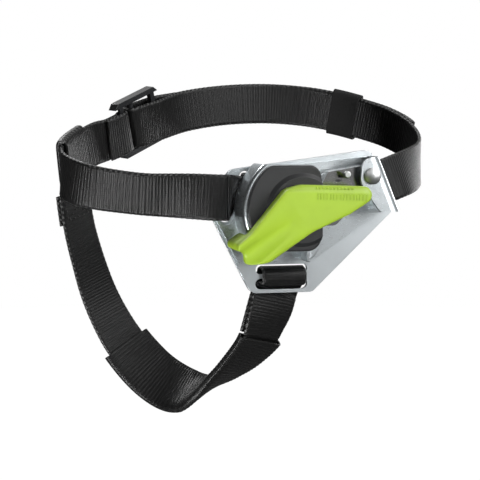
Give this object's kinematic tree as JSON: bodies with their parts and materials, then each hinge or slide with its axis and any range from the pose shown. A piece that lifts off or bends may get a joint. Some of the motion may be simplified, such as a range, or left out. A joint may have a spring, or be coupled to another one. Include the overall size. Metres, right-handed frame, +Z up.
{
  "type": "foot ascender",
  "caption": "Foot-worn rope ascender: folded steel body with a toothed cam and a gate lever, on an ankle strap and a strap that passes under the boot.",
  "frame": {"origin": "on the gate lever's pivot axis, at the front face of the back plate; the boot is behind the plate and holds the part", "axes": "+X to the right along the plate, seen from the front; +Y backwards from the plate towards the boot; +Z up along the rope"},
  "size_m": [0.1772, 0.1398, 0.1507],
  "materials": {
    "steel_plate": "satin, pressed sheet",
    "steel_body": "satin, pressed sheet",
    "cover_plastic": "fine matte black moulding",
    "rivet_steel": "smooth rivet steel",
    "washer_plastic": "black washer",
    "lever_plastic": "satin lime green moulding",
    "spring_steel": "drawn wire",
    "cam_steel": "polished hardened steel",
    "webbing": "black ribbed webbing",
    "elastic": "matte black elastic",
    "buckle_metal": "gloss black coated stamping",
    "sleeve_webbing": "black tubular webbing with strong ribs"
  },
  "bodies": {
    "body": {"back_plate": "steel_plate", "channel_body": "steel_body", "channel_liner": "steel_body", "channel_drum": "steel_body", "drum_cover": "cover_plastic", "lever_axle": "rivet_steel", "axle_sleeve": "rivet_steel", "lever_washer": "washer_plastic", "cam_axle": "rivet_steel", "cam_spacer": "rivet_steel", "ankle_strap_left": "webbing", "ankle_strap_plate": "webbing", "ankle_strap_right": "webbing", "strap_tail": "webbing", "strap_keeper": "elastic", "buckle_frame": "buckle_metal", "foot_strap_wrap": "webbing", "foot_strap": "webbing", "wear_sleeve": "sleeve_webbing", "foot_strap_loop": "webbing", "foot_strap_tab": "webbing"},
    "lever": {"gate_lever": "lever_plastic", "lever_spring": "spring_steel"},
    "cam": {"cam": "cam_steel", "cam_pin": "rivet_steel", "cam_spring": "spring_steel"},
    "sliding_bar": {"buckle_bar": "buckle_metal"}
  },
  "joints": [
    {"name": "lever_turn", "type": "hinge", "parent": "body", "child": "lever", "pos_m": [0, -0.029, 0], "axis": [0, 1, 0], "range_deg": [0, 95], "stiffness_Nm_per_rad": 0.02, "springref_deg": -28.65},
    {"name": "cam_turn", "type": "hinge", "parent": "body", "child": "cam", "pos_m": [0.0318, -0.0101, 0.014], "axis": [0, -1, 0], "range_deg": [0, 40], "stiffness_Nm_per_rad": 0.06, "springref_deg": -34.38},
    {"name": "bar_slide", "type": "slide", "parent": "body", "child": "sliding_bar", "axis": [0.7418, 0.5802, 0.3363], "range_m": [0, 0.0012]}
  ]
}
